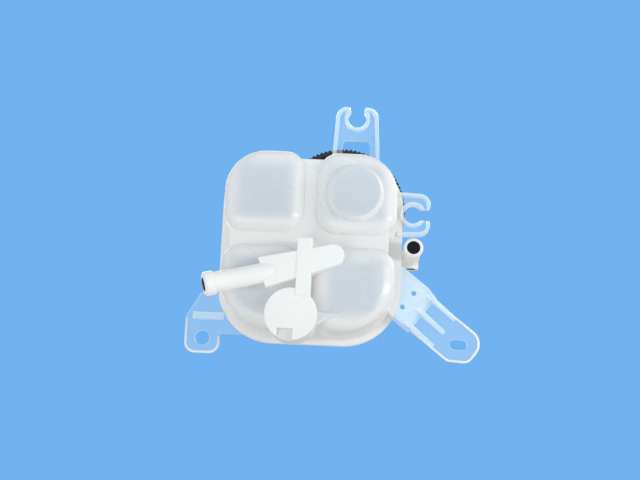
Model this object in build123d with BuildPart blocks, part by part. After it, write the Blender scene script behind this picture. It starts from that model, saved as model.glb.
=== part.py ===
"""Coolant expansion tank: two welded translucent half shells, a screw cap with its pressure and vacuum valves.

Millimetres. The origin is the centre of the round hole in the fixing lug, on the lug's underside.
+Z is up as the tank is fitted, +X runs from the lug towards the slotted arm.
"""

import os
from math import cos, hypot, pi, radians, sin, tan

from build123d import *

# Body, measured from the round fixing hole
hole_to_side = 8.7
hole_to_front = 1.5
body_width = 117.0
body_length = 121.6
flange_lip = 3.5
flange_thickness = 3.0
front_corner = 36.0
back_corner = 30.0
wall = 2.5
draft = 1.5
lower_depth = 47.0
upper_height = 36.0
lobe_round = 8.5

# Grooves that part the four lobes
groove_width = 6.0
groove_depth = 7.0
notch_depth = 4.5
shoulder_round = 14.0

# Round well in the floor of one lobe, measured from the middle of the body
well_x = 27.7
well_y = -29.4
well_radius = 18.2
well_depth = 4.0
well_flare = 32.0

# Outlet duct and its hose spigot
outlet_x = -27.0
outlet_y = 24.2
outlet_heading = 164.0
outlet_dip = 12.5
outlet_reach = 36.5
outlet_radius = 6.2
outlet_bead = 7.4
outlet_bore = 4.3
duct_depth = 9.5
duct_length = 45.0
duct_end_width = 19.0
duct_tail_width = 13.0

# Round sump pot in the floor and the channel that links it to the outlet duct
pot_x = -8.2
pot_y = 48.8
pot_radius = 16.0
pot_drop = 9.5
pot_height = 25.5
pot_notch_x = -3.2
pot_notch_width = 9.6
pot_notch_inset = 7.2
pot_notch_depth = 5.0
link_x = -1.5
link_y = 2.0
link_width = 9.2
link_step = 0.5
fin_reach = 6.4
fin_length = 15.5
fin_depth = 3.0

# Fixing lug with the round hole
lug_hole_radius = 4.8
lug_half_width = 11.0
lug_tip = 9.6
lug_corner = 6.5
lug_shoulder = 29.0
lug_rib_y = -13.8
lug_rib_width = 4.4
lug_rib_depth = 4.5

# Fixing arm with the slot
slot_x = 164.1
slot_y = -2.2
slot_width = 6.6
slot_length = 11.0
arm_heading = 37.7
arm_half_width = 12.7
arm_tip = 12.2
arm_corner = 10.0
arm_chamfer = 7.5
arm_chamfer_run = 11.0
arm_chamfer_round = 6.0
arm_step_x = -29.7
arm_step_run = 7.3
arm_step_drop = 12.0
arm_root_widening = 1.6
arm_rib_width = 3.0
arm_rib_length = 19.0
arm_rib_drop = 9.0
arm_hole_radius = 1.6
arm_hole_inset = 5.0
arm_hole_pitch = 11.3

# Hose clips on the flange
clip_bore = 6.0
clip_rim = 2.4
clip_web = 2.0
clip_rim_height = 5.0
clip_corner = 7.0
clip_horn_round = 1.8
top_clip_x = 26.6
top_clip_y = -89.6
top_clip_mouth = 8.8
top_clip_base_half = 15.8
top_clip_tip_half = 13.6
top_clip_horn = 7.8
top_clip_window = 18.0
top_clip_window_gap = 14.5
top_clip_window_corner = 3.0
side_clip_x = 65.3
side_clip_y = -26.4
side_clip_mouth = 7.6
side_clip_base_half = 14.6
side_clip_tip_half = 13.6
side_clip_horn = 11.2

# Vent elbow and spigot on the upper half
vent_x = 65.8
vent_y = -1.5
vent_radius = 5.3
vent_bead = 6.2
vent_bore = 4.3
vent_drop = 21.0
vent_rise = 19.0
vent_arm_radius = 5.0
vent_arm_reach = 7.3
vent_cross_bore = 3.4
plug_length = 4.0
plug_recess = 0.4

# Filler neck, measured from the middle of the body
neck_x = 18.3
neck_y = -36.8
neck_radius = 25.0
neck_wall = 2.4
neck_height = 16.5
seal_bore = 16.9
seal_wall = 2.1
seal_top_gap = 1.5
seal_reach = 23.0
turret_gap = 1.2
turret_skirt = 21.0
turret_cone = 12.0
turret_cone_run = 9.0

# Screw cap
cap_radius = 43.0
cap_wall = 2.5
cap_crown = 3.0
cap_shoulder = 3.0
cap_rim_gap = 2.0
cap_dish_radius = 30.0
cap_dish_depth = 1.2
knurl_count = 90
knurl_depth = 1.2
knurl_crest = 1.05
sleeve_wall = 2.5
sleeve_gap = 1.9
sleeve_lift = 1.5
cap_rib_count = 12
cap_rib_width = 1.8
cap_rib_drop = 13.0
catch_wall = 2.0
catch_lip = 1.4
catch_lip_height = 1.0

# Valve insert in the cap
insert_gap = 0.3
insert_radius = 16.6
insert_bore = 12.2
insert_collar = 21.0
insert_collar_height = 2.2
insert_floor = 2.5
insert_length = 33.0
insert_mouth = 8.0
cover_radius = 15.0
ring_section = 2.6
ring_fit = 0.05
upper_ring_drop = 9.0
lower_ring_drop = 16.0
port_radius = 1.5
port_drop = 3.6

# Valves and springs in the insert
valve_radius = 11.4
valve_plate = 2.0
valve_seal_inner = 8.6
valve_seal_outer = 11.2
valve_seal_height = 2.0
vacuum_disc_radius = 6.9
vacuum_disc_height = 1.6
vacuum_seat_gap = 0.2
vacuum_stem_radius = 1.8
vacuum_stem_gap = 0.2
vacuum_port_count = 6
vacuum_port_radius = 0.8
vacuum_port_pitch = 5.6
vacuum_spring_height = 8.0
vacuum_coil_radius = 3.2
vacuum_wire = 0.7
vacuum_turns = 6
retainer_radius = 4.4
retainer_height = 1.2
pressure_coil_radius = 8.6
pressure_wire = 1.5
pressure_turns = 6
coil_seat = 0.05
wire_sides = 6

# Sizes worked out from the ones above
body_x = hole_to_side + body_width / 2
body_y = hole_to_front - body_length / 2
wall_width = body_width - 2 * flange_lip
wall_length = body_length - 2 * flange_lip
front_wall_corner = front_corner - flange_lip
back_wall_corner = back_corner - flange_lip
lobe_side = min(wall_width, wall_length) / 2 - groove_width / 2
lobe_shoulder = min(shoulder_round, lobe_side - max(front_wall_corner, back_wall_corner) - wall)
parting = flange_thickness
floor_z = parting - lower_depth
roof_z = parting + upper_height
draft_slope = tan(radians(draft))
deep_draft = max(lower_depth, upper_height) * draft_slope
edge_round = min(lobe_round, lobe_shoulder - deep_draft - wall / 2)
neck_centre = (body_x + neck_x, body_y + neck_y)
neck_top = roof_z + neck_height
cap_rim = roof_z + cap_rim_gap
seal_outer = seal_bore + seal_wall
seal_top = neck_top - seal_top_gap
seal_foot = roof_z - seal_reach
turret_radius = neck_radius + turret_gap
sleeve_bore = neck_radius + sleeve_gap
collar_foot = neck_top + catch_lip_height + 3 * insert_gap
collar_top = collar_foot + insert_collar_height
crown_foot = collar_top + insert_gap
crown_top = crown_foot + cap_crown
insert_foot = collar_foot - insert_length
insert_floor_top = insert_foot + insert_floor
cover_foot = collar_foot
ring_floor = seal_bore - ring_fit - ring_section
valve_foot = insert_floor_top + valve_seal_height
valve_top = valve_foot + valve_plate
retainer_foot = valve_top + vacuum_spring_height

body_plane = Plane(origin=(body_x, body_y, 0))
weld_plane = Plane(origin=(body_x, body_y, parting), x_dir=(-1, 0, 0), z_dir=(0, 0, -1))
neck_side = Plane(origin=(*neck_centre, 0), x_dir=(1, 0, 0), z_dir=(0, -1, 0))
neck_end = Plane(origin=(*neck_centre, 0), x_dir=(0, 1, 0), z_dir=(1, 0, 0))
neck_axis = Axis((*neck_centre, 0), (0, 0, 1))


def neck_plane(z):
    """A level plane on the axis of the filler neck."""
    return Plane(origin=(*neck_centre, z))


def round_corners(plan, front_radius, back_radius):
    """Rounds the outer corners of a plan, those towards +Y by the first radius."""
    for side, radius in ((1, front_radius), (-1, back_radius)):
        reach = max(abs(corner.X) + side * corner.Y for corner in plan.vertices())
        outer = plan.vertices().filter_by(lambda corner: abs(corner.X) + side * corner.Y > reach - wall)
        fillet(outer, radius=radius)


def flange_plan(plan):
    """Plan of the weld flange."""
    Rectangle(body_width, body_length)
    round_corners(plan, front_corner, back_corner)


def lobe_plans(plan, inset):
    """Plans of the four lobes: the outer corners follow the flange, the others are shoulders."""
    inner = groove_width / 2 + inset
    half_width = wall_width / 2 - inset
    half_length = wall_length / 2 - inset
    with GridLocations(inner + half_width, inner + half_length, 2, 2):
        Rectangle(half_width - inner, half_length - inner)
    shoulders = plan.vertices().filter_by(
        lambda corner: abs(corner.X) < half_width / 2 or abs(corner.Y) < half_length / 2
    )
    fillet(shoulders, radius=lobe_shoulder - inset)
    round_corners(plan, front_wall_corner - inset, back_wall_corner - inset)


def core_plan(plan, inset):
    """Plan of the tank's core, whose sides show in the notches between the lobes."""
    setback = notch_depth + inset
    Rectangle(wall_width - 2 * setback, wall_length - 2 * setback)
    round_corners(plan, front_wall_corner - setback, back_wall_corner - setback)


def spigot_section(foot, length, radius, bead):
    """Half section of a hose spigot with a rounded bead at its end, along the local X axis."""
    lead = bead - radius
    with BuildLine() as edge:
        Polyline(
            (foot, 0),
            (foot, radius),
            (length - bead, radius),
            (length - bead + lead, bead),
            (length - lead, bead),
            (length, radius),
            (length, 0),
            close=True,
        )
    make_face(edge.edges())


def clip_outline(base_half, tip_half, reach, horn):
    """Tapered plate of a hose clip. The mouth points along +Y and the bore is at the origin."""
    Polygon(
        (-base_half, -reach),
        (base_half, -reach),
        (tip_half, horn),
        (-tip_half, horn),
        align=None,
    )


def hose_clip(plane, base_half, tip_half, reach, horn, mouth):
    """Thin web with a raised rim along its sides and round its bore, open at the mouth."""
    web_z = (flange_thickness - clip_web) / 2
    rim_z = flange_thickness - clip_rim_height
    with BuildSketch(plane.offset(web_z)) as web:
        clip_outline(base_half, tip_half, reach, horn)
        fillet(web.vertices().group_by(Axis.Y)[-1], radius=clip_corner)
        Circle(clip_bore, mode=Mode.SUBTRACT)
        with Locations((0, horn)):
            Rectangle(mouth, 2 * horn, mode=Mode.SUBTRACT)
        fillet(web.vertices().group_by(Axis.Y)[-1].sort_by(Axis.X)[1:-1], radius=clip_horn_round)
    extrude(web.sketch, amount=clip_web)
    with BuildSketch(plane.offset(rim_z)) as rim:
        clip_outline(base_half, tip_half, reach, horn)
        fillet(rim.vertices().group_by(Axis.Y)[-1], radius=clip_corner)
        with BuildSketch(mode=Mode.SUBTRACT) as inside:
            clip_outline(base_half - clip_rim, tip_half - clip_rim, reach, horn - clip_rim)
            fillet(inside.vertices().group_by(Axis.Y)[-1], radius=clip_corner - clip_rim)
        Circle(clip_bore + clip_rim)
        Circle(clip_bore, mode=Mode.SUBTRACT)
        with Locations((0, horn)):
            Rectangle(mouth, 2 * horn, mode=Mode.SUBTRACT)
        fillet(rim.vertices().group_by(Axis.Y)[-1].sort_by(Axis.X)[1:-1], radius=clip_horn_round)
    extrude(rim.sketch, amount=clip_rim_height)


# Space inside the lower half
with BuildPart() as lower_space:
    with BuildSketch(body_plane.offset(parting)) as plan:
        lobe_plans(plan, wall)
    extrude(amount=lower_depth - wall, dir=(0, 0, -1), taper=draft)
    fillet(lower_space.faces().group_by(Axis.Z)[0].edges(), radius=edge_round - wall)
    with BuildSketch(body_plane.offset(parting)) as plan:
        core_plan(plan, wall)
    extrude(amount=lower_depth - groove_depth - wall, dir=(0, 0, -1), taper=draft)

# Space inside the upper half
with BuildPart() as upper_space:
    with BuildSketch(weld_plane) as plan:
        lobe_plans(plan, wall)
    extrude(amount=upper_height - wall, dir=(0, 0, 1), taper=draft)
    fillet(upper_space.faces().group_by(Axis.Z)[-1].edges(), radius=edge_round - wall)
    with BuildSketch(weld_plane) as plan:
        core_plan(plan, wall)
    extrude(amount=upper_height - groove_depth - wall, dir=(0, 0, 1), taper=draft)

# Middle line of the outlet spigot
outlet_heading_x = cos(radians(outlet_heading))
outlet_heading_y = sin(radians(outlet_heading))
outlet_fall = cos(radians(outlet_dip))
outlet_dir = (outlet_heading_x * outlet_fall, outlet_heading_y * outlet_fall, -sin(radians(outlet_dip)))
outlet_root = (body_x + outlet_x, body_y + outlet_y, floor_z - outlet_radius)
outlet_across = (-outlet_heading_y, outlet_heading_x, 0)
outlet_normal = Vector(*outlet_dir).cross(Vector(*outlet_across))
outlet_side = Plane(origin=outlet_root, x_dir=outlet_dir, z_dir=outlet_normal)
duct_plane = Plane(
    origin=(outlet_root[0], outlet_root[1], floor_z),
    x_dir=(-outlet_heading_x, -outlet_heading_y, 0),
    z_dir=(0, 0, -1),
)
pot_foot = floor_z - pot_drop
link_foot = floor_z - duct_depth - link_step
arm_plane = Plane(origin=(slot_x, slot_y, 0), x_dir=(cos(radians(arm_heading)), sin(radians(arm_heading)), 0))
arm_root_x = arm_step_x - arm_step_run
arm_back = hypot(slot_x - body_x - wall_width / 2, slot_y - body_y)
arm_side = Plane(origin=(slot_x, slot_y, 0), x_dir=arm_plane.x_dir, z_dir=-arm_plane.y_dir)
arm_slant = hypot(arm_step_run, arm_step_drop)
arm_floor_shift = wall * arm_slant / arm_step_drop - wall * arm_step_run / arm_step_drop
arm_rib_foot_x = arm_step_x - arm_step_run * arm_rib_drop / arm_step_drop
lug_heel_y = body_y + body_length / 2 - lug_hole_radius
lug_rib_length = body_x - wall_width / 2 + lug_half_width - lug_hole_radius + wall / 2
top_clip_plane = Plane(
    origin=(body_x + top_clip_x, body_y + top_clip_y, 0), x_dir=(-1, 0, 0), z_dir=(0, 0, 1)
)
side_clip_plane = Plane(
    origin=(body_x + side_clip_x, body_y + side_clip_y, 0), x_dir=(0, -1, 0), z_dir=(0, 0, 1)
)
top_clip_reach = -top_clip_y - wall_length / 2
side_clip_reach = side_clip_x - wall_width / 2


def duct_outline(inset):
    """Plan of the outlet duct: wide at the spigot end, with a round tail."""
    end_half = duct_end_width / 2 - inset
    tail_half = duct_tail_width / 2 - inset
    Polygon(
        (inset, -end_half),
        (duct_length, -tail_half),
        (duct_length, tail_half),
        (inset, end_half),
        align=None,
    )
    with Locations((duct_length, 0)):
        Circle(tail_half)


def link_outline(inset):
    """Plan of the channel from the pot to the duct."""
    length = pot_y - pot_radius + 2 * wall - link_y
    with Locations((link_x, link_y + length / 2)):
        Rectangle(link_width - 2 * inset, length - 2 * inset)


def notch_outline(margin):
    """Plan of the notch in the pot's rim, on its outer side."""
    with Locations((pot_x + pot_notch_x, pot_y + pot_radius - pot_notch_inset - margin)):
        Rectangle(pot_notch_width + 2 * margin, pot_radius, align=(Align.CENTER, Align.MIN))


# Space inside the pot, with a wall left round the notch
with BuildPart() as pot_space:
    with BuildSketch(body_plane.offset(pot_foot + wall)):
        with Locations((pot_x, pot_y)):
            Circle(pot_radius - wall)
    extrude(amount=pot_height - 2 * wall)
    with BuildSketch(body_plane.offset(pot_foot)):
        notch_outline(wall)
    extrude(amount=pot_notch_depth + wall, mode=Mode.SUBTRACT)

with BuildPart() as lower_shell:
    # Four lobes round a core, with the weld flange
    with BuildSketch(body_plane.offset(parting)) as plan:
        lobe_plans(plan, 0)
    extrude(amount=lower_depth, dir=(0, 0, -1), taper=draft)
    fillet(lower_shell.faces().group_by(Axis.Z)[0].edges(), radius=edge_round)
    with BuildSketch(body_plane.offset(parting)) as plan:
        core_plan(plan, 0)
    extrude(amount=lower_depth - groove_depth, dir=(0, 0, -1), taper=draft)
    with BuildSketch(body_plane) as plan:
        flange_plan(plan)
    extrude(amount=flange_thickness)
    # Round well, from the lobe's face down
    with BuildSketch(body_plane.offset(floor_z)):
        with Locations((well_x, well_y)):
            Circle(well_radius)
    extrude(amount=well_depth, dir=(0, 0, -1), taper=well_flare)
    with BuildSketch(body_plane.offset(floor_z)):
        with Locations((well_x, well_y)):
            Circle(well_radius)
    extrude(amount=edge_round)
    # Sump pot with its fin, outlet duct, the channel that links them and the spigot
    with BuildSketch(body_plane.offset(pot_foot)):
        with Locations((pot_x, pot_y)):
            Circle(pot_radius)
    extrude(amount=pot_height)
    with BuildSketch(body_plane.offset(floor_z - fin_depth)):
        with Locations((pot_x + pot_radius - wall, pot_y + fin_reach)):
            Triangle(c=fin_reach + wall, a=fin_length, B=90, align=(Align.MIN, Align.MAX))
    extrude(amount=fin_depth + wall)
    with BuildSketch(duct_plane.offset(-groove_depth)):
        duct_outline(0)
    extrude(amount=groove_depth + duct_depth)
    with BuildSketch(body_plane.offset(link_foot)):
        link_outline(0)
    extrude(amount=floor_z + groove_depth - link_foot)
    with BuildSketch(outlet_side):
        spigot_section(-outlet_radius, outlet_reach, outlet_radius, outlet_bead)
    revolve(axis=Axis(outlet_root, outlet_dir))
    # Fixing lug with its rib and round hole
    with BuildSketch() as lug:
        Polygon(
            (body_x - wall_width / 2 + flange_lip, -lug_shoulder),
            (body_x - body_width / 2 - lug_half_width, -lug_shoulder),
            (-lug_half_width, lug_rib_y),
            (-lug_half_width, lug_tip),
            (lug_half_width, lug_tip),
            (lug_half_width, lug_heel_y),
            (body_x - front_corner, lug_heel_y),
            align=None,
        )
        fillet(lug.vertices().group_by(Axis.Y)[-1], radius=lug_corner)
    extrude(amount=flange_thickness)
    with BuildSketch(Plane.XY.offset(-lug_rib_depth)):
        with Locations((lug_hole_radius - lug_half_width, lug_rib_y)):
            Rectangle(lug_rib_length, lug_rib_width, align=(Align.MIN, Align.CENTER))
    extrude(amount=lug_rib_depth)
    with BuildSketch():
        Circle(lug_hole_radius)
    extrude(amount=flange_thickness, mode=Mode.SUBTRACT)
    # Fixing arm: a stepped tray at the root, then a flat tongue with the slot
    with BuildSketch(arm_side):
        Polygon(
            (arm_step_x, 0),
            (arm_root_x, -arm_step_drop),
            (-arm_back, -arm_step_drop),
            (-arm_back, flange_thickness),
            (arm_step_x, flange_thickness),
            align=None,
        )
    extrude(amount=arm_half_width + arm_root_widening, both=True)
    with BuildSketch(arm_side):
        Polygon(
            (arm_step_x, flange_thickness),
            (arm_step_x - arm_floor_shift, flange_thickness),
            (arm_root_x - arm_floor_shift, wall - arm_step_drop),
            (-arm_back, wall - arm_step_drop),
            (-arm_back, flange_thickness),
            align=None,
        )
    extrude(amount=arm_half_width + arm_root_widening - wall, both=True, mode=Mode.SUBTRACT)
    with BuildSketch(arm_plane) as tongue:
        Polygon(
            (arm_step_x - wall, -arm_half_width),
            (arm_tip, -arm_half_width),
            (arm_tip, arm_half_width - arm_chamfer),
            (arm_tip - arm_chamfer_run, arm_half_width),
            (arm_step_x - wall, arm_half_width),
            align=None,
        )
        chamfered = tongue.vertices().filter_by(lambda corner: corner.Y > 0 and corner.X > arm_step_x)
        fillet(chamfered, radius=arm_chamfer_round)
        fillet(tongue.vertices().sort_by(Axis.Y)[:2].sort_by(Axis.X)[-1], radius=arm_corner)
    extrude(amount=flange_thickness)
    for rib_y in (arm_rib_width / 2 - arm_half_width, 0, arm_half_width - arm_rib_width / 2):
        with BuildSketch(arm_side.offset(-rib_y)):
            Polygon(
                (arm_step_x, 0),
                (arm_step_x + arm_rib_length, 0),
                (arm_rib_foot_x, -arm_rib_drop),
                align=None,
            )
        extrude(amount=arm_rib_width / 2, both=True)
    with BuildSketch(Plane(origin=(slot_x, slot_y, 0))):
        SlotOverall(slot_length, slot_width)
    extrude(amount=flange_thickness, mode=Mode.SUBTRACT)
    with BuildSketch(arm_plane.offset(-arm_step_drop)):
        with Locations((arm_root_x - arm_hole_inset, 0)):
            with GridLocations(0, arm_hole_pitch, 1, 2):
                Circle(arm_hole_radius)
    extrude(amount=wall, mode=Mode.SUBTRACT)
    # Hose clips
    hose_clip(
        top_clip_plane,
        top_clip_base_half,
        top_clip_tip_half,
        top_clip_reach,
        top_clip_horn,
        top_clip_mouth,
    )
    with BuildSketch(top_clip_plane.offset(-clip_rim_height)):
        with Locations((0, -top_clip_window_gap)):
            RectangleRounded(
                top_clip_window,
                top_clip_reach - top_clip_window_gap - flange_lip,
                top_clip_window_corner,
                align=(Align.CENTER, Align.MAX),
            )
    extrude(amount=2 * clip_rim_height, mode=Mode.SUBTRACT)
    hose_clip(
        side_clip_plane,
        side_clip_base_half,
        side_clip_tip_half,
        side_clip_reach,
        side_clip_horn,
        side_clip_mouth,
    )
    # Hollow of the tank, the well and the duct
    add(lower_space.part, mode=Mode.SUBTRACT)
    with BuildSketch(body_plane.offset(floor_z + wall)):
        with Locations((well_x, well_y)):
            Circle(well_radius - wall)
    extrude(amount=well_depth, dir=(0, 0, -1), taper=well_flare, mode=Mode.SUBTRACT)
    with BuildSketch(body_plane.offset(floor_z + wall)):
        with Locations((well_x, well_y)):
            Circle(well_radius - wall)
    extrude(amount=edge_round - wall, mode=Mode.SUBTRACT)
    with BuildSketch(duct_plane.offset(-groove_depth - wall)):
        duct_outline(wall)
    extrude(amount=groove_depth + duct_depth, mode=Mode.SUBTRACT)
    with BuildSketch(Plane(origin=outlet_root, z_dir=outlet_dir).offset(-2 * outlet_radius)):
        Circle(outlet_bore)
    extrude(amount=outlet_reach + 2 * outlet_radius, mode=Mode.SUBTRACT)
    # Hollow of the pot and the link, and the notch in the pot's rim
    add(pot_space.part, mode=Mode.SUBTRACT)
    with BuildSketch(body_plane.offset(link_foot + wall)):
        link_outline(wall)
    extrude(amount=floor_z + groove_depth - link_foot, mode=Mode.SUBTRACT)
    with BuildSketch(body_plane.offset(pot_foot)):
        notch_outline(0)
    extrude(amount=pot_notch_depth, mode=Mode.SUBTRACT)
lower_shell.part.label = "lower_shell"


vent_axis = (body_x + vent_x, body_y + vent_y)
vent_z = parting + vent_rise
vent_run = vent_x - wall_width / 2 + notch_depth + 2 * wall
vent_top = Plane(origin=(*vent_axis, vent_z))
vent_side = Plane(origin=(*vent_axis, vent_z), x_dir=(0, 0, -1), z_dir=(0, 1, 0))
vent_out = Plane(origin=(*vent_axis, vent_z), x_dir=(1, 0, 0), z_dir=(0, 1, 0))
vent_in = Plane(origin=(*vent_axis, vent_z), x_dir=(0, 1, 0), z_dir=(-1, 0, 0))
turret_foot = roof_z - turret_skirt - turret_cone
turret_waist = roof_z - turret_skirt


def turret_section(inset):
    """Half section of the turret that carries the neck: a cone that widens into a cylinder."""
    Polygon(
        (0, turret_foot),
        (turret_radius - turret_cone_run - inset, turret_foot),
        (turret_radius - inset, turret_waist),
        (turret_radius - inset, roof_z - inset),
        (0, roof_z - inset),
        align=None,
    )


with BuildPart() as upper_shell:
    # Four lobes round a core, with the weld flange
    with BuildSketch(weld_plane) as plan:
        lobe_plans(plan, 0)
    extrude(amount=upper_height, dir=(0, 0, 1), taper=draft)
    fillet(upper_shell.faces().group_by(Axis.Z)[-1].edges(), radius=edge_round)
    with BuildSketch(weld_plane) as plan:
        core_plan(plan, 0)
    extrude(amount=upper_height - groove_depth, dir=(0, 0, 1), taper=draft)
    with BuildSketch(body_plane.offset(parting)) as plan:
        flange_plan(plan)
    extrude(amount=flange_thickness)
    # Turret under the neck, and the vent elbow
    with BuildSketch(neck_side):
        turret_section(0)
    revolve(axis=neck_axis)
    with BuildSketch(vent_side):
        spigot_section(-vent_radius, vent_rise + vent_drop, vent_radius, vent_bead)
    revolve(axis=Axis((*vent_axis, 0), (0, 0, 1)))
    with BuildSketch(vent_out):
        Circle(vent_arm_radius)
    extrude(amount=vent_arm_reach)
    with BuildSketch(vent_in):
        Circle(vent_arm_radius)
    extrude(amount=vent_run)
    # Hollow of the tank and the turret
    add(upper_space.part, mode=Mode.SUBTRACT)
    with BuildSketch(neck_side):
        turret_section(wall)
    revolve(axis=neck_axis, mode=Mode.SUBTRACT)
    # Threaded neck and the sealing tube inside it
    with BuildSketch(neck_plane(roof_z - wall)):
        Circle(neck_radius)
        Circle(neck_radius - neck_wall, mode=Mode.SUBTRACT)
    extrude(amount=neck_height + wall)
    with BuildSketch(neck_plane(seal_foot)):
        Circle(seal_outer)
    extrude(amount=seal_top - seal_foot)
    with BuildSketch(neck_plane(seal_foot)):
        Circle(seal_bore)
    extrude(amount=neck_top - seal_foot, mode=Mode.SUBTRACT)
    # Ways through the vent elbow
    with BuildSketch(vent_top):
        Circle(vent_bore)
    extrude(amount=vent_rise + vent_drop, dir=(0, 0, -1), mode=Mode.SUBTRACT)
    with BuildSketch(vent_in):
        Circle(vent_cross_bore)
    extrude(amount=vent_run + wall, mode=Mode.SUBTRACT)
    with BuildSketch(vent_out):
        Circle(vent_cross_bore)
    extrude(amount=vent_arm_reach, mode=Mode.SUBTRACT)
upper_shell.part.label = "upper_shell"

with BuildPart() as vent_plug:
    with BuildSketch(vent_out.offset(vent_arm_reach - plug_recess)):
        Circle(vent_cross_bore - ring_fit)
    extrude(amount=-plug_length)
vent_plug.part.label = "vent_plug"

with BuildPart() as cap_shell:
    # Crown, skirt, threaded sleeve and the catch that holds the valve insert
    body_radius = cap_radius - knurl_depth
    with BuildSketch(neck_side) as section:
        Polygon(
            (0, crown_foot),
            (body_radius - cap_wall, crown_foot),
            (body_radius - cap_wall, cap_rim),
            (body_radius, cap_rim),
            (body_radius, crown_top),
            (cap_dish_radius + cap_dish_depth, crown_top),
            (cap_dish_radius, crown_top - cap_dish_depth),
            (0, crown_top - cap_dish_depth),
            align=None,
        )
        shoulder = section.vertices().sort_by(Axis.Y)[-2:].sort_by(Axis.X)[-1]
        fillet(shoulder, radius=cap_shoulder)
    revolve(axis=neck_axis)
    with BuildSketch(neck_side):
        Polygon(
            (sleeve_bore, cap_rim + sleeve_lift),
            (sleeve_bore + sleeve_wall, cap_rim + sleeve_lift),
            (sleeve_bore + sleeve_wall, crown_foot),
            (sleeve_bore, crown_foot),
            align=None,
        )
        catch_bore = insert_collar + insert_gap
        catch_foot = collar_foot - insert_gap - catch_lip_height
        Polygon(
            (catch_bore - catch_lip, catch_foot),
            (catch_bore + catch_wall, catch_foot),
            (catch_bore + catch_wall, crown_foot),
            (catch_bore, crown_foot),
            (catch_bore, catch_foot + catch_lip_height),
            (catch_bore - catch_lip, catch_foot + catch_lip_height),
            align=None,
        )
    revolve(axis=neck_axis)
    # Stiffening ribs between the sleeve and the skirt
    rib_inner = sleeve_bore + sleeve_wall / 2
    rib_outer = body_radius - cap_wall / 2
    with BuildSketch(neck_plane(crown_foot)):
        with PolarLocations((rib_inner + rib_outer) / 2, cap_rib_count):
            Rectangle(rib_outer - rib_inner, cap_rib_width)
    extrude(amount=-cap_rib_drop)
    # Fine grip teeth round the skirt
    tooth_turn = 2 * pi / knurl_count
    crest_turn = knurl_crest / cap_radius
    knurl_points = []
    for tooth in range(knurl_count):
        middle = tooth * tooth_turn
        valley = middle - tooth_turn / 2
        knurl_points.append((body_radius * cos(valley), body_radius * sin(valley)))
        for crest in (middle - crest_turn / 2, middle + crest_turn / 2):
            knurl_points.append((cap_radius * cos(crest), cap_radius * sin(crest)))
    with BuildSketch(neck_plane(cap_rim)):
        with BuildLine():
            Polyline(*knurl_points, close=True)
        make_face()
        Circle(body_radius - cap_wall / 2, mode=Mode.SUBTRACT)
    extrude(amount=crown_top - cap_shoulder - cap_rim)
cap_shell.part.label = "cap_shell"

with BuildPart() as valve_housing:
    with BuildSketch(neck_side):
        Polygon(
            (insert_mouth, insert_foot),
            (insert_radius, insert_foot),
            (insert_radius, collar_foot),
            (insert_collar, collar_foot),
            (insert_collar, collar_top),
            (cover_radius, collar_top),
            (cover_radius, cover_foot),
            (insert_bore, cover_foot),
            (insert_bore, insert_floor_top),
            (insert_mouth, insert_floor_top),
            align=None,
        )
        for drop in (upper_ring_drop, lower_ring_drop):
            with Locations((insert_radius, collar_foot - drop)):
                Rectangle(2 * (insert_radius - ring_floor), ring_section, mode=Mode.SUBTRACT)
    revolve(axis=neck_axis)
    for side in (neck_side, neck_end):
        with BuildSketch(side):
            with Locations((0, collar_foot - port_drop)):
                Circle(port_radius)
        extrude(amount=insert_collar, both=True, mode=Mode.SUBTRACT)
valve_housing.part.label = "valve_housing"

with BuildPart() as housing_cover:
    with BuildSketch(neck_plane(cover_foot)):
        Circle(cover_radius - ring_fit)
    extrude(amount=insert_collar_height)
housing_cover.part.label = "housing_cover"


def o_ring(drop):
    """Round seal in its groove, the given distance below the collar of the insert."""
    with BuildSketch(neck_side) as section:
        with Locations((ring_floor + ring_section / 2, collar_foot - drop)):
            Circle(ring_section / 2)
    revolve(section.sketch, axis=neck_axis)


with BuildPart() as upper_o_ring:
    o_ring(upper_ring_drop)
upper_o_ring.part.label = "upper_o_ring"

with BuildPart() as lower_o_ring:
    o_ring(lower_ring_drop)
lower_o_ring.part.label = "lower_o_ring"

with BuildPart() as pressure_valve:
    with BuildSketch(neck_plane(valve_foot)):
        Circle(valve_radius)
        Circle(vacuum_stem_radius + vacuum_stem_gap, mode=Mode.SUBTRACT)
        with PolarLocations(vacuum_port_pitch, vacuum_port_count):
            Circle(vacuum_port_radius, mode=Mode.SUBTRACT)
    extrude(amount=valve_plate)
pressure_valve.part.label = "pressure_valve"

with BuildPart() as pressure_valve_seal:
    with BuildSketch(neck_plane(insert_floor_top)):
        Circle(valve_seal_outer)
        Circle(valve_seal_inner, mode=Mode.SUBTRACT)
    extrude(amount=valve_seal_height)
pressure_valve_seal.part.label = "pressure_valve_seal"

with BuildPart() as vacuum_valve:
    with BuildSketch(neck_plane(valve_foot - vacuum_seat_gap)):
        Circle(vacuum_disc_radius)
    extrude(amount=-vacuum_disc_height)
    with BuildSketch(neck_plane(valve_foot - vacuum_seat_gap)):
        Circle(vacuum_stem_radius)
    extrude(amount=retainer_foot + 2 * retainer_height - valve_foot + vacuum_seat_gap)
vacuum_valve.part.label = "vacuum_valve"

with BuildPart() as vacuum_retainer:
    with BuildSketch(neck_plane(retainer_foot)):
        Circle(retainer_radius)
        Circle(vacuum_stem_radius + ring_fit, mode=Mode.SUBTRACT)
    extrude(amount=retainer_height)
vacuum_retainer.part.label = "vacuum_retainer"


def coil_spring(foot, top, coil_radius, wire, turns):
    """Helical compression spring that stands between two flat seats."""
    rise = top - foot - wire - 2 * coil_seat
    with BuildLine(neck_plane(foot + wire / 2 + coil_seat)) as coil:
        Helix(rise / turns, rise, coil_radius)
    start = Plane(coil.line @ 0, z_dir=coil.line % 0)
    with BuildSketch(start) as section:
        RegularPolygon(wire / 2, wire_sides)
    sweep(section.sketch, path=coil.line, is_frenet=True)


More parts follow.
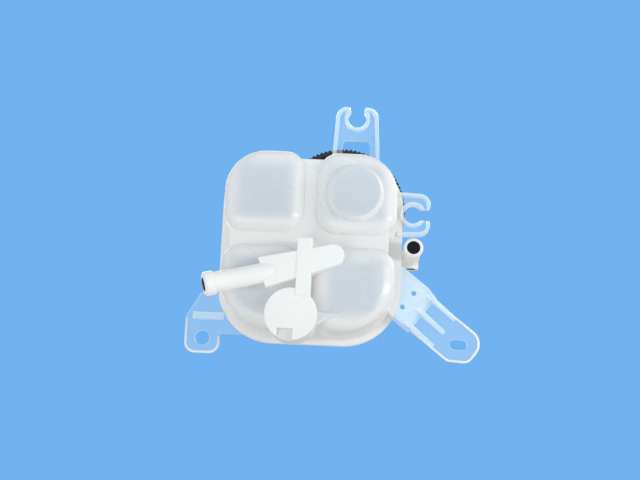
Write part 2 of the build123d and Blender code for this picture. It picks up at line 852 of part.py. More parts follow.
with BuildPart() as pressure_spring:
    coil_spring(valve_top, cover_foot, pressure_coil_radius, pressure_wire, pressure_turns)
pressure_spring.part.label = "pressure_spring"

with BuildPart() as vacuum_spring:
    coil_spring(valve_top, retainer_foot, vacuum_coil_radius, vacuum_wire, vacuum_turns)
vacuum_spring.part.label = "vacuum_spring"

pieces = (
    lower_shell,
    upper_shell,
    vent_plug,
    cap_shell,
    valve_housing,
    housing_cover,
    upper_o_ring,
    lower_o_ring,
    pressure_valve,
    pressure_valve_seal,
    pressure_spring,
    vacuum_valve,
    vacuum_retainer,
    vacuum_spring,
)
os.makedirs("parts", exist_ok=True)
for piece in pieces:
    export_step(piece.part, f"parts/{piece.part.label}.step")
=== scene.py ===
"""Dresses the coolant expansion tank: finishes, thread, beads and moulding detail, stage and camera."""

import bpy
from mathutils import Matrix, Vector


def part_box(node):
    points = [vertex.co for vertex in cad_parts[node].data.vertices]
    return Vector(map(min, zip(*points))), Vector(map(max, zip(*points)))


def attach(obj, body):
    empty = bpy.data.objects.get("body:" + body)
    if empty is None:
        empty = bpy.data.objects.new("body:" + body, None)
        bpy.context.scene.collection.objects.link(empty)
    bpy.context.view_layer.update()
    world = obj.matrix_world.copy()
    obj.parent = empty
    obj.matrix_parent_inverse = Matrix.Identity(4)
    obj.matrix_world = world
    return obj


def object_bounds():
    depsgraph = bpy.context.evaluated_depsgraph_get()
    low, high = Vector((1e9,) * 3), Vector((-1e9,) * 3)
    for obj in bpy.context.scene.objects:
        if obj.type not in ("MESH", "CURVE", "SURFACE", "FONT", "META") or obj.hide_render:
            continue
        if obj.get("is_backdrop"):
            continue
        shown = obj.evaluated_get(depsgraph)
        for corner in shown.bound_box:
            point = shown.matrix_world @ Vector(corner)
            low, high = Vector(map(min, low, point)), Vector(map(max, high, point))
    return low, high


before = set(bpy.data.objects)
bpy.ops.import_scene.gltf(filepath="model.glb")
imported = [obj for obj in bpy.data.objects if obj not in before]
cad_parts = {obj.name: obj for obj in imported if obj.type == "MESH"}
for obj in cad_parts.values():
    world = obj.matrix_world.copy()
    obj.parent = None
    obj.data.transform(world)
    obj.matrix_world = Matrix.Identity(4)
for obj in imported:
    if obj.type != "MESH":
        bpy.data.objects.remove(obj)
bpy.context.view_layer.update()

from math import cos, pi, radians, sin, tan

import bmesh
import bpy
from bpy.props import FloatProperty, FloatVectorProperty, IntProperty, PointerProperty
from mathutils import Matrix, Vector

bl_info = {
    "name": "Coolant expansion tank",
    "version": (1, 0, 0),
    "blender": (4, 5, 0),
    "location": "3D View > Sidebar > Tank",
    "description": "Dresses a coolant expansion tank with its finishes, thread and moulding detail",
    "category": "Object",
}

MM = 0.001
BODY_CENTRE = Vector((67.2, -59.3, 0.0)) * MM
NECK_CENTRE = Vector((85.5, -96.1, 0.0)) * MM
LOBE_MIDDLE = Vector((29.0, 30.1)) * MM
LOBE_HALF = 25.0 * MM
FLANGE_HALF = Vector((58.5, 60.8)) * MM
FRONT_CORNER = 36.0 * MM
BACK_CORNER = 30.0 * MM
PARTING = 3.0 * MM
# Strength of the painted glow: the milky shells emit their own colour in place of light passing through
# them
PAINTED_GLOW = 0.17
ARM_ORIGIN = Vector((164.1, -2.2))
ARM_HEADING = radians(37.7)
ARM_HALF_WIDTH = 12.7
ARM_TIP = 12.2
ARM_STEP = -29.0
LUG_HALF_WIDTH = 11.0
LUG_TIP = 9.6
NECK_RADIUS = 25.0 * MM
SLEEVE_RADIUS = 26.9 * MM
SPIGOT_BORE = 4.28 * MM
LOWER_FACE = -44.0 * MM
DUCT_FACE = -53.5 * MM
OUTLET_TIP = Vector((5.945, -25.278, -58.1)) * MM
OUTLET_WAY = Vector((-0.938478, 0.269103, -0.21644))
VENT_TIP = Vector((133.0, -60.8, -18.0)) * MM


class TankShape(bpy.types.PropertyGroup):
    """Sizes of the detail that the solids leave out."""

    bead_radius: FloatProperty(
        name="Weld bead", description="Radius of the weld bead round the waist",
        default=0.7 * MM, subtype="DISTANCE", unit="LENGTH")
    edge_radius: FloatProperty(
        name="Plate edge", description="Radius of the rolled edge of the fixing plates",
        default=0.75 * MM, subtype="DISTANCE", unit="LENGTH")
    thread_pitch: FloatProperty(
        name="Thread pitch", description="Rise of the neck thread in one turn",
        default=5.0 * MM, subtype="DISTANCE", unit="LENGTH")
    thread_turns: FloatProperty(
        name="Thread turns", description="Turns of thread on the neck", default=2.2)
    thread_height: FloatProperty(
        name="Thread height", description="How far the thread stands out of the neck",
        default=1.3 * MM, subtype="DISTANCE", unit="LENGTH")
    grip_rings: IntProperty(
        name="Crown rings", description="Fine raised rings on the cap's dished crown", default=3)


class TankLooks(bpy.types.PropertyGroup):
    """Colours of the finishes and the stage."""

    shell_edge: FloatVectorProperty(
        name="Shell", description="Milky plastic where it is thick or turned edge on",
        default=(0.735, 0.725, 0.705), subtype="COLOR", size=3)
    # Painted shade: the grey-blue colour of the lobes' flat faces, partly the thin wall's see-through look
    # and partly painted shade
    lobe_face_shade: FloatVectorProperty(
        name="Lobe face shade", description="The same plastic on the thin flat faces of the lobes",
        default=(0.575, 0.605, 0.63), subtype="COLOR", size=3)
    cap_black: FloatVectorProperty(
        name="Cap", description="Black plastic of the screw cap",
        default=(0.011, 0.011, 0.012), subtype="COLOR", size=3)
    backdrop: FloatVectorProperty(
        name="Backdrop", description="Plain light blue behind the tank",
        default=(0.165, 0.445, 0.871), subtype="COLOR", size=3)
    floor_colour: FloatVectorProperty(
        name="Floor", description="Pale floor", default=(0.7, 0.78, 0.86), subtype="COLOR", size=3)


class NodeSheet:
    """Short hand for building a node tree."""

    def __init__(self, name):
        self.material = bpy.data.materials.new(name)
        self.material.use_nodes = True
        self.tree = self.material.node_tree
        self.tree.nodes.clear()
        self.output = self.tree.nodes.new("ShaderNodeOutputMaterial")

    def node(self, kind, **settings):
        made = self.tree.nodes.new(kind)
        for key, value in settings.items():
            setattr(made, key, value)
        return made

    def join(self, source, target):
        self.tree.links.new(source, target)

    def feed(self, socket, value):
        """Links an output to the socket, or sets the socket to a plain value."""
        if isinstance(value, bpy.types.NodeSocket):
            self.join(value, socket)
        else:
            socket.default_value = value

    def maths(self, operation, first, second=0.0, clamp=False):
        made = self.node("ShaderNodeMath", operation=operation, use_clamp=clamp)
        self.feed(made.inputs[0], first)
        self.feed(made.inputs[1], second)
        return made.outputs[0]

    def smooth(self, value, low, high, to_low=0.0, to_high=1.0):
        made = self.node("ShaderNodeMapRange", interpolation_type="SMOOTHSTEP")
        self.feed(made.inputs["Value"], value)
        made.inputs["From Min"].default_value = low
        made.inputs["From Max"].default_value = high
        made.inputs["To Min"].default_value = to_low
        made.inputs["To Max"].default_value = to_high
        return made.outputs["Result"]

    def blend(self, factor, first, second):
        made = self.node("ShaderNodeMix", data_type="RGBA")
        self.feed(made.inputs["Factor"], factor)
        for socket, value in ((made.inputs[6], first), (made.inputs[7], second)):
            self.feed(socket, value if isinstance(value, bpy.types.NodeSocket) else (*value, 1.0))
        return made.outputs[2]

    def mix_number(self, factor, first, second):
        made = self.node("ShaderNodeMix", data_type="FLOAT")
        self.feed(made.inputs["Factor"], factor)
        self.feed(made.inputs[2], first)
        self.feed(made.inputs[3], second)
        return made.outputs[0]

    def noise(self, place, scale, detail=3.0, roughness=0.5):
        made = self.node("ShaderNodeTexNoise")
        self.join(place, made.inputs["Vector"])
        made.inputs["Scale"].default_value = scale
        made.inputs["Detail"].default_value = detail
        made.inputs["Roughness"].default_value = roughness
        return made.outputs["Fac"]

    def bump(self, height, strength, distance, normal=None):
        made = self.node("ShaderNodeBump")
        made.inputs["Strength"].default_value = strength
        made.inputs["Distance"].default_value = distance
        self.join(height, made.inputs["Height"])
        if normal is not None:
            self.join(normal, made.inputs["Normal"])
        return made.outputs["Normal"]

    def soft_edges(self, radius):
        made = self.node("ShaderNodeBevel", samples=4)
        made.inputs["Radius"].default_value = radius
        return made.outputs["Normal"]


def looks():
    return bpy.context.scene.tank_looks


def shape():
    return bpy.context.scene.tank_shape


def milky_plastic(name, with_plates):
    """Milky translucent plastic, more see-through on the lobes' flat faces and painted greyer there as
    shade, with a painted glow of its own colour, and clear in the fixing plates.
    """
    sheet = NodeSheet(name)
    place = sheet.node("ShaderNodeTexCoord")
    spot = place.outputs["Object"]
    cut = sheet.node("ShaderNodeSeparateXYZ")
    sheet.join(spot, cut.inputs[0])
    facing = sheet.node("ShaderNodeSeparateXYZ")
    sheet.join(place.outputs["Normal"], facing.inputs[0])
    level = sheet.maths("ABSOLUTE", facing.outputs["Z"])

    # Distance from the middle of the nearest lobe, 0 at its middle and 1 at its rim
    reach = []
    for index, axis in enumerate("XY"):
        off = sheet.maths("ABSOLUTE", sheet.maths("SUBTRACT", cut.outputs[axis], BODY_CENTRE[index]))
        reach.append(sheet.maths("ABSOLUTE", sheet.maths("SUBTRACT", off, LOBE_MIDDLE[index])))
    rim = sheet.maths("DIVIDE", sheet.maths("MAXIMUM", *reach), LOBE_HALF)
    flat = sheet.smooth(level, 0.8, 0.99)
    middle = sheet.smooth(rim, 0.45, 0.95, 1.0, 0.0)
    low_face = sheet.smooth(cut.outputs["Z"], LOWER_FACE - 6.5 * MM, LOWER_FACE - 5.5 * MM)
    high_face = sheet.smooth(cut.outputs["Z"], LOWER_FACE + 4.5 * MM, LOWER_FACE + 3.5 * MM)
    if not with_plates:
        low_face = sheet.smooth(cut.outputs["Z"], 35.0 * MM, 36.0 * MM)
        high_face = sheet.smooth(cut.outputs["Z"], 40.5 * MM, 40.0 * MM)
    # Mask of the lobes' flat middles: these are more see-through, and their colour is painted greyer as
    # shade
    thin_face_and_shade = sheet.maths("MULTIPLY", sheet.maths("MULTIPLY", flat, middle),
                        sheet.maths("MULTIPLY", low_face, high_face))

    cloud = sheet.noise(spot, 32.0, 4.0, 0.55)
    streak = sheet.noise(spot, 210.0, 2.0, 0.6)
    thin_face_and_shade = sheet.maths("MULTIPLY", thin_face_and_shade, sheet.smooth(cloud, 0.2, 0.8, 0.82, 1.0))
    # Painted shade: the flat faces get the greyer colour, and edges, grooves and sides keep the whiter one
    colour = sheet.blend(thin_face_and_shade, tuple(looks().shell_edge), tuple(looks().lobe_face_shade))
    if with_plates:
        # The outlet, the duct and the pot are thicker than the lobes' faces, and whiter
        thick = sheet.smooth(cut.outputs["Z"], DUCT_FACE + 4.0 * MM, DUCT_FACE + 1.0 * MM)
        colour = sheet.blend(thick, colour, (0.84, 0.825, 0.79))
    haze = sheet.smooth(streak, 0.3, 0.75, 0.0, 0.06)
    colour = sheet.blend(haze, colour, (0.8, 0.8, 0.79))
    alpha = sheet.mix_number(thin_face_and_shade, 0.965, 0.9)

    if with_plates:
        # Distance outside the waist flange, for the thin plates that show what is behind them
        front = sheet.maths("GREATER_THAN", cut.outputs["Y"], BODY_CENTRE.y)
        corner = sheet.mix_number(front, BACK_CORNER, FRONT_CORNER)
        outside = []
        for index, axis in enumerate("XY"):
            off = sheet.maths("ABSOLUTE", sheet.maths("SUBTRACT", cut.outputs[axis], BODY_CENTRE[index]))
            past = sheet.maths("SUBTRACT", sheet.maths("ADD", off, corner), FLANGE_HALF[index])
            outside.append(sheet.maths("MAXIMUM", past, 0.0))
        squares = [sheet.maths("MULTIPLY", part, part) for part in outside]
        beyond = sheet.maths("SUBTRACT", sheet.maths("SQRT", sheet.maths("ADD", *squares)), corner)
        beyond = sheet.smooth(beyond, -0.2 * MM, 0.6 * MM)
        thin = sheet.smooth(cut.outputs["Z"], -14.5 * MM, -13.0 * MM)
        plate = sheet.maths("MULTIPLY", beyond, thin)
        face = sheet.smooth(level, 0.55, 0.95)
        rib = sheet.smooth(cut.outputs["Z"], -0.6 * MM, -0.2 * MM)
        clear = sheet.maths("MULTIPLY", plate, sheet.maths("MULTIPLY", face, rib))
        alpha = sheet.mix_number(clear, alpha, 0.12)
        half_clear = sheet.maths("MULTIPLY", plate, sheet.maths("SUBTRACT", 1.0, rib))
        alpha = sheet.mix_number(half_clear, alpha, 0.55)
        colour = sheet.blend(plate, colour, (0.72, 0.82, 0.86))

    grain = sheet.noise(spot, 1400.0, 2.0, 0.5)
    skin = sheet.noise(spot, 60.0, 2.0, 0.5)
    normal = sheet.bump(grain, 0.05, 0.05 * MM, sheet.soft_edges(0.5 * MM))
    normal = sheet.bump(skin, 0.12, 0.5 * MM, normal)
    rough = sheet.smooth(cloud, 0.25, 0.75, 0.24, 0.36)

    plastic = sheet.node("ShaderNodeBsdfPrincipled", subsurface_method="RANDOM_WALK")
    plastic.inputs["IOR"].default_value = 1.49
    plastic.inputs["Subsurface Weight"].default_value = 0.35
    # Painted glow: the plastic emits its own colour, standing in for light that passes through it
    plastic.inputs["Emission Strength"].default_value = PAINTED_GLOW
    sheet.join(colour, plastic.inputs["Emission Color"])
    plastic.inputs["Subsurface Radius"].default_value = (1.0, 1.0, 1.0)
    plastic.inputs["Subsurface Scale"].default_value = 3.0 * MM
    sheet.join(colour, plastic.inputs["Base Color"])
    sheet.join(rough, plastic.inputs["Roughness"])
    sheet.join(alpha, plastic.inputs["Alpha"])
    sheet.join(normal, plastic.inputs["Normal"])
    sheet.join(plastic.outputs[0], sheet.output.inputs["Surface"])
    return sheet.material




def plain_plastic(name, colour, roughness, grain_scale, grain_depth, soft=0.25 * MM):
    """Opaque moulded plastic with a fine spark-eroded grain and faint sheen patches."""
    sheet = NodeSheet(name)
    spot = sheet.node("ShaderNodeTexCoord").outputs["Object"]
    patch = sheet.noise(spot, 45.0, 3.0, 0.55)
    grain = sheet.noise(spot, grain_scale, 2.0, 0.6)
    lighter = tuple(min(1.0, part * 1.9 + 0.006) for part in colour)
    plastic = sheet.node("ShaderNodeBsdfPrincipled")
    tone = sheet.blend(sheet.smooth(patch, 0.3, 0.8, 0.0, 0.6), colour, lighter)
    sheet.join(tone, plastic.inputs["Base Color"])
    sheen = sheet.smooth(patch, 0.25, 0.75, roughness - 0.07, roughness + 0.08)
    sheet.join(sheen, plastic.inputs["Roughness"])
    sheet.join(sheet.bump(grain, 0.35, grain_depth, sheet.soft_edges(soft)), plastic.inputs["Normal"])
    plastic.inputs["IOR"].default_value = 1.5
    sheet.join(plastic.outputs[0], sheet.output.inputs["Surface"])
    return sheet.material


def rubber(name):
    """Matt black rubber with a dusty bloom."""
    sheet = NodeSheet(name)
    spot = sheet.node("ShaderNodeTexCoord").outputs["Object"]
    bloom = sheet.noise(spot, 160.0, 4.0, 0.65)
    grain = sheet.noise(spot, 2600.0, 2.0, 0.6)
    skin = sheet.node("ShaderNodeBsdfPrincipled")
    dusty = sheet.smooth(bloom, 0.45, 0.8, 0.0, 0.5)
    sheet.join(sheet.blend(dusty, (0.008, 0.008, 0.008), (0.03, 0.03, 0.03)), skin.inputs["Base Color"])
    sheet.join(sheet.smooth(bloom, 0.3, 0.7, 0.6, 0.8), skin.inputs["Roughness"])
    sheet.join(sheet.bump(grain, 0.3, 0.03 * MM), skin.inputs["Normal"])
    skin.inputs["Specular IOR Level"].default_value = 0.15
    sheet.join(skin.outputs[0], sheet.output.inputs["Surface"])
    return sheet.material


def turned_metal(name, colour, roughness, ring_scale):
    """Metal with fine rings left by turning or drawing, round the neck's axis."""
    sheet = NodeSheet(name)
    place = sheet.node("ShaderNodeTexCoord")
    shift = sheet.node("ShaderNodeMapping")
    shift.inputs["Location"].default_value = -NECK_CENTRE
    sheet.join(place.outputs["Object"], shift.inputs["Vector"])
    rings = sheet.node("ShaderNodeTexWave", wave_type="RINGS", rings_direction="Z")
    rings.inputs["Scale"].default_value = ring_scale
    rings.inputs["Distortion"].default_value = 0.6
    sheet.join(shift.outputs[0], rings.inputs["Vector"])
    stain = sheet.noise(place.outputs["Object"], 220.0, 3.0, 0.6)
    metal = sheet.node("ShaderNodeBsdfPrincipled")
    metal.inputs["Metallic"].default_value = 1.0
    darker = tuple(part * 0.7 for part in colour)
    tone = sheet.blend(sheet.smooth(stain, 0.4, 0.75, 0.0, 0.7), colour, darker)
    sheet.join(tone, metal.inputs["Base Color"])
    sheet.join(sheet.smooth(stain, 0.3, 0.7, roughness, roughness + 0.15), metal.inputs["Roughness"])
    normal = sheet.bump(rings.outputs["Fac"], 0.15, 0.02 * MM, sheet.soft_edges(0.1 * MM))
    sheet.join(normal, metal.inputs["Normal"])
    sheet.join(metal.outputs[0], sheet.output.inputs["Surface"])
    return sheet.material


def smooth_group():
    """Geometry nodes that weld a solid's facets and smooth them up to a crease angle."""
    name = "smooth_facets"
    if name in bpy.data.node_groups:
        return bpy.data.node_groups[name]
    group = bpy.data.node_groups.new(name, "GeometryNodeTree")
    group.interface.new_socket("Geometry", in_out="INPUT", socket_type="NodeSocketGeometry")
    group.interface.new_socket("Geometry", in_out="OUTPUT", socket_type="NodeSocketGeometry")
    start = group.nodes.new("NodeGroupInput")
    end = group.nodes.new("NodeGroupOutput")
    weld = group.nodes.new("GeometryNodeMergeByDistance")
    weld.inputs["Distance"].default_value = 0.002 * MM
    round_faces = group.nodes.new("GeometryNodeSetShadeSmooth")
    round_faces.domain = "FACE"
    angle = group.nodes.new("GeometryNodeInputMeshEdgeAngle")
    below = group.nodes.new("FunctionNodeCompare")
    below.data_type = "FLOAT"
    below.operation = "LESS_THAN"
    below.inputs[1].default_value = radians(32.0)
    round_edges = group.nodes.new("GeometryNodeSetShadeSmooth")
    round_edges.domain = "EDGE"
    group.links.new(start.outputs[0], weld.inputs["Geometry"])
    group.links.new(weld.outputs[0], round_faces.inputs["Geometry"])
    group.links.new(round_faces.outputs[0], round_edges.inputs["Geometry"])
    group.links.new(angle.outputs["Unsigned Angle"], below.inputs[0])
    group.links.new(below.outputs[0], round_edges.inputs["Shade Smooth"])
    group.links.new(round_edges.outputs[0], end.inputs[0])
    return group


def finish_node(name, material):
    """Gives a solid its finish and smooth facets."""
    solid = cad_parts[name]
    solid.data.materials.clear()
    solid.data.materials.append(material)
    solid.modifiers.new("smooth_facets", "NODES").node_group = smooth_group()


def add_piece(name, mesh, material, body):
    """Links a made mesh as a piece of the tank that rides on a body."""
    mesh.materials.append(material)
    piece = bpy.data.objects.new(name, mesh)
    bpy.context.scene.collection.objects.link(piece)
    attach(piece, body)
    return piece


def mesh_from(bm, name):
    """Closes a bmesh into a smooth shaded mesh with outward normals."""
    bmesh.ops.recalc_face_normals(bm, faces=bm.faces)
    mesh = bpy.data.meshes.new(name)
    for face in bm.faces:
        face.smooth = True
    bm.to_mesh(mesh)
    bm.free()
    return mesh


def skin_rings(bm, rings, closed):
    """Joins rows of points into a skin, capped at both ends where the row of rings is open."""
    rows = [[bm.verts.new(point) for point in ring] for ring in rings]
    count = len(rows)
    last = count if closed else count - 1
    for row in range(last):
        here, there = rows[row], rows[(row + 1) % count]
        for side in range(len(here)):
            other = (side + 1) % len(here)
            bm.faces.new((here[side], here[other], there[other], there[side]))
    if not closed:
        bm.faces.new(reversed(rows[0]))
        bm.faces.new(rows[-1])


def flat_bead(path, radius, sides, squash=1.0, closed=True):
    """Round bead along a level path of points."""
    bm = bmesh.new()
    rings = []
    count = len(path)
    for index, point in enumerate(path):
        after = path[(index + 1) % count] if closed else path[min(index + 1, count - 1)]
        before = path[index - 1] if closed else path[max(index - 1, 0)]
        ahead = (after - before).normalized()
        across = Vector((ahead.y, -ahead.x, 0.0))
        ring = []
        for side in range(sides):
            turn = 2 * pi * side / sides
            ring.append(point + across * (radius * cos(turn)) + Vector((0, 0, radius * squash * sin(turn))))
        rings.append(ring)
    skin_rings(bm, rings, closed=closed)
    return bm


def round_stub(centre, way, radius, length, sides=40):
    """Round stub whose face is at the centre, with a softly domed edge."""
    bm = bmesh.new()
    side = way.orthogonal().normalized()
    other = way.cross(side)
    rings = []
    for back, share in ((0.0, 0.6), (0.0, 0.86), (0.25 * MM, 1.0), (length, 1.0)):
        ring = []
        for step in range(sides):
            turn = 2 * pi * step / sides
            out = side * cos(turn) + other * sin(turn)
            ring.append(centre - way * back + out * (radius * share))
        rings.append(ring)
    skin_rings(bm, rings, closed=False)
    return bm


def rounded_path(corners, z, step=radians(9)):
    """Closed level path round corners given as (x, y, radius) in millimetres."""
    path = []
    count = len(corners)
    for index, (x, y, radius) in enumerate(corners):
        here = Vector((x, y))
        before = Vector(corners[index - 1][:2]) - here
        after = Vector(corners[(index + 1) % count][:2]) - here
        before.normalize()
        after.normalize()
        half = before.angle(after) / 2
        if radius <= 0:
            path.append(here.copy())
            continue
        middle = here + (before + after).normalized() * (radius / sin(half))
        start = here + before * (radius / tan(half)) - middle
        sweep = start.angle_signed(here + after * (radius / tan(half)) - middle)
        steps = max(2, int(abs(sweep) / step))
        for part in range(steps + 1):
            path.append(middle + Matrix.Rotation(-sweep * part / steps, 2) @ start)
    return [Vector((point.x * MM, point.y * MM, z)) for point in path]


def thread_ridge(root, crest, foot, tip, start_z, turns, pitch, start_turn):
    """Screw thread of a leaning section, with run-outs at both ends, round the neck's axis."""
    bm = bmesh.new()
    steps = int(turns * 48)
    fade = 0.12
    rings = []
    for step in range(steps + 1):
        share = step / steps
        swell = min(1.0, share / fade, (1.0 - share) / fade)
        swell = max(0.04, swell * swell * (3 - 2 * swell))
        turn = start_turn + 2 * pi * turns * share
        z = start_z + pitch * turns * share
        top = root + (crest - root) * swell
        out = Vector((cos(turn), sin(turn), 0.0))
        ring = []
        for radius, rise in ((root, -foot / 2), (top, -tip / 2), (top, tip / 2), (root, foot / 2)):
            ring.append(NECK_CENTRE + out * radius + Vector((0, 0, z + rise)))
        rings.append(ring)
    skin_rings(bm, rings, closed=False)
    return bm


class TANK_OT_shells(bpy.types.Operator):
    """Gives both half shells their milky plastic"""

    bl_idname = "tank.shells"
    bl_label = "Finish half shells"

    def execute(self, context):
        finish_node("lower_shell", milky_plastic("milky_plastic_lower", True))
        finish_node("upper_shell", milky_plastic("milky_plastic_upper", False))
        milky_plastic("milky_plastic_trim", False)
        return {"FINISHED"}


class TANK_OT_cap(bpy.types.Operator):
    """Finishes the screw cap and everything in its valve insert"""

    bl_idname = "tank.cap"
    bl_label = "Finish cap and valves"

    def execute(self, context):
        black = plain_plastic("cap_plastic", tuple(looks().cap_black), 0.42, 1500.0, 0.06 * MM)
        insert = plain_plastic("insert_plastic", (0.045, 0.046, 0.05), 0.45, 1800.0, 0.04 * MM)
        soft = rubber("black_rubber")
        brass = turned_metal("turned_brass", (0.74, 0.57, 0.29), 0.24, 900.0)
        steel = turned_metal("spring_steel", (0.6, 0.6, 0.6), 0.22, 1500.0)
        finish_node("cap_shell", black)
        for name in ("valve_housing", "housing_cover"):
            finish_node(name, insert)
        for name in ("vent_plug", "upper_o_ring", "lower_o_ring", "pressure_valve_seal"):
            finish_node(name, soft)
        for name in ("pressure_valve", "vacuum_valve", "vacuum_retainer"):
            finish_node(name, brass)
        for name in ("pressure_spring", "vacuum_spring"):
            finish_node(name, steel)
        return {"FINISHED"}


class TANK_OT_weld_bead(bpy.types.Operator):
    """Adds the bead of weld flash round the waist"""

    bl_idname = "tank.weld_bead"
    bl_label = "Weld bead"

    def execute(self, context):
        centre, half = BODY_CENTRE / MM, FLANGE_HALF / MM
        inset = 0.35
        corners = []
        for way_x, way_y, corner in (
            (1, 1, FRONT_CORNER), (-1, 1, FRONT_CORNER), (-1, -1, BACK_CORNER), (1, -1, BACK_CORNER)
        ):
            x = centre.x + way_x * (half.x - inset)
            y = centre.y + way_y * (half.y - inset)
            corners.append((x, y, corner / MM - inset))
        bead = flat_bead(rounded_path(corners, PARTING), shape().bead_radius, 10)
        mesh = mesh_from(bead, "weld_bead")
        add_piece("weld_bead", mesh, bpy.data.materials["milky_plastic_trim"], "tank")
        return {"FINISHED"}


class TANK_OT_plate_edges(bpy.types.Operator):
    """Adds the rolled edges of the fixing lug and the arm's tongue"""

    bl_idname = "tank.plate_edges"
    bl_label = "Plate edges"

    def execute(self, context):
        inset = 0.4
        side, tip = LUG_HALF_WIDTH - inset, LUG_TIP - inset
        lug = ((-side, -13.0, 0.0), (-side, tip, 6.1), (side, tip, 6.1), (side, -1.5, 0.0))
        side, tip = ARM_HALF_WIDTH - inset, ARM_TIP - inset
        tongue = (
            (ARM_STEP, -side, 0.0), (tip, -side, 9.6), (tip, 5.0, 5.6),
            (1.0, side, 5.6), (ARM_STEP, side, 0.0),
        )
        turn = Matrix.Rotation(ARM_HEADING, 2)
        arm = [(*(ARM_ORIGIN + turn @ Vector((x, y))), corner) for x, y, corner in tongue]
        plastic = bpy.data.materials["milky_plastic_trim"]
        for name, corners in (("lug_edge", lug), ("arm_edge", arm)):
            bead = flat_bead(rounded_path(corners, 0.55 * MM), shape().edge_radius, 10, closed=False)
            add_piece(name, mesh_from(bead, name), plastic, "tank")
        return {"FINISHED"}


class TANK_OT_bore_shade_plugs(bpy.types.Operator):
    """Adds black discs in the outlet and vent bores, painted shade for the dark inside the deep bores
    rather than real dust plugs
    """

    bl_idname = "tank.dust_plugs"
    bl_label = "Painted bore shade plugs"

    def execute(self, context):
        soft = bpy.data.materials["black_rubber"]
        # Each black disc is painted shade, set where the bore is only dark inside
        for name, tip, way, recess in (
            ("outlet_bore_shade_plug", OUTLET_TIP, OUTLET_WAY, -0.3 * MM),
            ("vent_bore_shade_plug", VENT_TIP, Vector((0, 0, -1)), 1.2 * MM),
        ):
            stub = round_stub(tip - way * recess, way, SPIGOT_BORE, 6.0 * MM)
            add_piece(name, mesh_from(stub, name), soft, "tank")
        return {"FINISHED"}


class TANK_OT_threads(bpy.types.Operator):
    """Adds the screw thread on the neck and the one in the cap's sleeve"""

    bl_idname = "tank.threads"
    bl_label = "Neck and cap threads"

    def execute(self, context):
        pitch, turns, height = shape().thread_pitch, shape().thread_turns, shape().thread_height
        sunk = 0.2 * MM
        ridge = thread_ridge(NECK_RADIUS - sunk, NECK_RADIUS + height, 2.6 * MM, 1.1 * MM, 43.0 * MM,
                             turns, pitch, 0.0)
        plastic = bpy.data.materials["milky_plastic_trim"]
        add_piece("neck_thread", mesh_from(ridge, "neck_thread"), plastic, "tank")
        ridge = thread_ridge(SLEEVE_RADIUS + sunk, SLEEVE_RADIUS - height, 2.4 * MM, 1.0 * MM, 45.5 * MM,
                             turns, pitch, 0.0)
        black = bpy.data.materials["cap_plastic"]
        add_piece("cap_thread", mesh_from(ridge, "cap_thread"), black, "cap")
        return {"FINISHED"}


class TANK_OT_crown_rings(bpy.types.Operator):
    """Adds fine raised rings to the cap's dished crown"""

    bl_idname = "tank.crown_rings"
    bl_label = "Crown rings"

    def execute(self, context):
        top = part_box("cap_shell")[1].z - 1.2 * MM
        for index in range(shape().grip_rings):
            radius = (26.0 - 2.2 * index) * MM
            path = []
            for step in range(96):
                turn = 2 * pi * step / 96
                path.append(NECK_CENTRE + Vector((radius * cos(turn), radius * sin(turn), top)))
            ring = flat_bead(path, 0.55 * MM, 8, squash=0.6)
            add_piece(f"crown_ring_{index + 1}", mesh_from(ring, "crown_ring"),
                      bpy.data.materials["cap_plastic"], "cap")
        return {"FINISHED"}


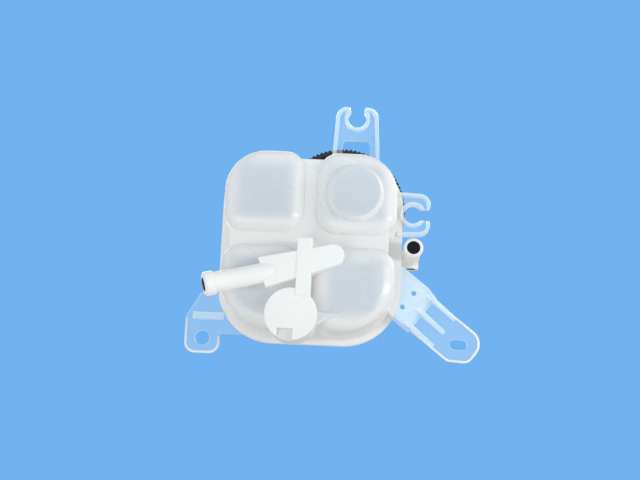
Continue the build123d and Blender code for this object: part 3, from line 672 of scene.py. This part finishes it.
class TANK_OT_stage(bpy.types.Operator):
    """Adds the pale floor, the soft lamps, the backdrop and the camera"""

    bl_idname = "tank.stage"
    bl_label = "Stage and camera"

    def execute(self, context):
        scene = context.scene
        scene.view_settings.view_transform = "Standard"
        self.add_floor(scene)
        self.add_world(scene)
        self.add_lamps(scene)
        self.add_camera(scene)
        return {"FINISHED"}

    def add_floor(self, scene):
        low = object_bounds()[0].z - 0.5 * MM
        bm = bmesh.new()
        bmesh.ops.create_grid(bm, x_segments=2, y_segments=2, size=3.0)
        mesh = bpy.data.meshes.new("floor")
        bm.to_mesh(mesh)
        bm.free()
        floor = bpy.data.objects.new("floor", mesh)
        floor.location = (BODY_CENTRE.x, BODY_CENTRE.y, low)
        floor.visible_shadow = False
        sheet = NodeSheet("pale_floor")
        spot = sheet.node("ShaderNodeTexCoord").outputs["Object"]
        tint = tuple(looks().floor_colour)
        paler = tuple(min(1.0, part * 1.04) for part in tint)
        paint = sheet.node("ShaderNodeBsdfDiffuse")
        sheet.join(sheet.blend(sheet.noise(spot, 3.0), tint, paler), paint.inputs["Color"])
        clear = sheet.node("ShaderNodeBsdfTransparent")
        under = sheet.node("ShaderNodeNewGeometry").outputs["Backfacing"]
        pick = sheet.node("ShaderNodeMixShader")
        sheet.join(under, pick.inputs[0])
        sheet.join(paint.outputs[0], pick.inputs[1])
        sheet.join(clear.outputs[0], pick.inputs[2])
        sheet.join(pick.outputs[0], sheet.output.inputs["Surface"])
        mesh.materials.append(sheet.material)
        scene.collection.objects.link(floor)
        floor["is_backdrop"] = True

    def add_world(self, scene):
        world = bpy.data.worlds.new("studio")
        scene.world = world
        world.use_nodes = True
        tree = world.node_tree
        tree.nodes.clear()
        output = tree.nodes.new("ShaderNodeOutputWorld")
        path = tree.nodes.new("ShaderNodeLightPath")
        seen = tree.nodes.new("ShaderNodeBackground")
        seen.inputs["Color"].default_value = (*looks().backdrop, 1.0)
        light = tree.nodes.new("ShaderNodeBackground")
        light.inputs["Color"].default_value = (1.0, 0.99, 0.97, 1.0)
        light.inputs["Strength"].default_value = 0.46
        pick = tree.nodes.new("ShaderNodeMixShader")
        tree.links.new(path.outputs["Is Camera Ray"], pick.inputs[0])
        tree.links.new(light.outputs[0], pick.inputs[1])
        tree.links.new(seen.outputs[0], pick.inputs[2])
        tree.links.new(pick.outputs[0], output.inputs["Surface"])

    def add_lamps(self, scene):
        aim = BODY_CENTRE
        for name, place, size, size_y, power in (
            ("key_below", (-0.35, 0.35, -0.85), 0.55, 0.55, 2.6),
            ("strip_below", (0.62, 0.02, -0.42), 0.06, 0.7, 2.2),
            ("top_soft", (-0.25, -0.5, 1.1), 1.0, 1.0, 6.0),
            ("side_soft", (0.8, -0.5, 0.55), 0.6, 0.6, 2.5),
        ):
            data = bpy.data.lights.new(name, "AREA")
            data.shape = "RECTANGLE"
            data.size = size
            data.size_y = size_y
            data.energy = power
            lamp = bpy.data.objects.new(name, data)
            lamp.location = aim + Vector(place)
            lamp.rotation_euler = (-Vector(place)).to_track_quat("-Z", "Y").to_euler()
            scene.collection.objects.link(lamp)

    def add_camera(self, scene):
        towards = Vector((tan(radians(2.0)), tan(radians(11.0)), -1.0)).normalized()
        ahead = -towards
        side = (Vector((1, 0, 0)) - ahead * ahead.x).normalized()
        fall = ahead.cross(side)
        roll = radians(2.3)
        right = side * cos(roll) - fall * sin(roll)
        down = side * sin(roll) + fall * cos(roll)
        target = Vector((72.8, -66.7, 0.0)) * MM
        data = bpy.data.cameras.new("photo_view")
        data.sensor_fit = "HORIZONTAL"
        data.sensor_width = 36.0
        data.lens = 73.56
        data.clip_start = 0.01
        data.clip_end = 20.0
        camera = bpy.data.objects.new("photo_view", data)
        place = target + towards * 0.85
        camera.matrix_world = Matrix((
            (right.x, -down.x, towards.x, place.x),
            (right.y, -down.y, towards.y, place.y),
            (right.z, -down.z, towards.z, place.z),
            (0.0, 0.0, 0.0, 1.0),
        ))
        scene.collection.objects.link(camera)
        scene.camera = camera


class TANK_PT_panel(bpy.types.Panel):
    """Lists the steps that dress the tank"""

    bl_idname = "TANK_PT_panel"
    bl_label = "Expansion tank"
    bl_space_type = "VIEW_3D"
    bl_region_type = "UI"
    bl_category = "Tank"

    def draw(self, context):
        for step in STEPS:
            self.layout.operator(step.bl_idname)
        for group in (context.scene.tank_shape, context.scene.tank_looks):
            for key in group.__annotations__:
                self.layout.prop(group, key)


STEPS = (
    TANK_OT_shells,
    TANK_OT_cap,
    TANK_OT_weld_bead,
    TANK_OT_plate_edges,
    TANK_OT_bore_shade_plugs,
    TANK_OT_threads,
    TANK_OT_crown_rings,
    TANK_OT_stage,
)
CLASSES = (TankShape, TankLooks, *STEPS, TANK_PT_panel)


def register():
    for kind in CLASSES:
        bpy.utils.register_class(kind)
    bpy.types.Scene.tank_shape = PointerProperty(type=TankShape)
    bpy.types.Scene.tank_looks = PointerProperty(type=TankLooks)


def unregister():
    del bpy.types.Scene.tank_looks
    del bpy.types.Scene.tank_shape
    for kind in reversed(CLASSES):
        bpy.utils.unregister_class(kind)


def main():
    register()
    bpy.ops.tank.shells()
    bpy.ops.tank.cap()
    bpy.ops.tank.weld_bead()
    bpy.ops.tank.plate_edges()
    bpy.ops.tank.dust_plugs()
    bpy.ops.tank.threads()
    bpy.ops.tank.crown_rings()
    bpy.ops.tank.stage()


if __name__ == "__main__":
    main()
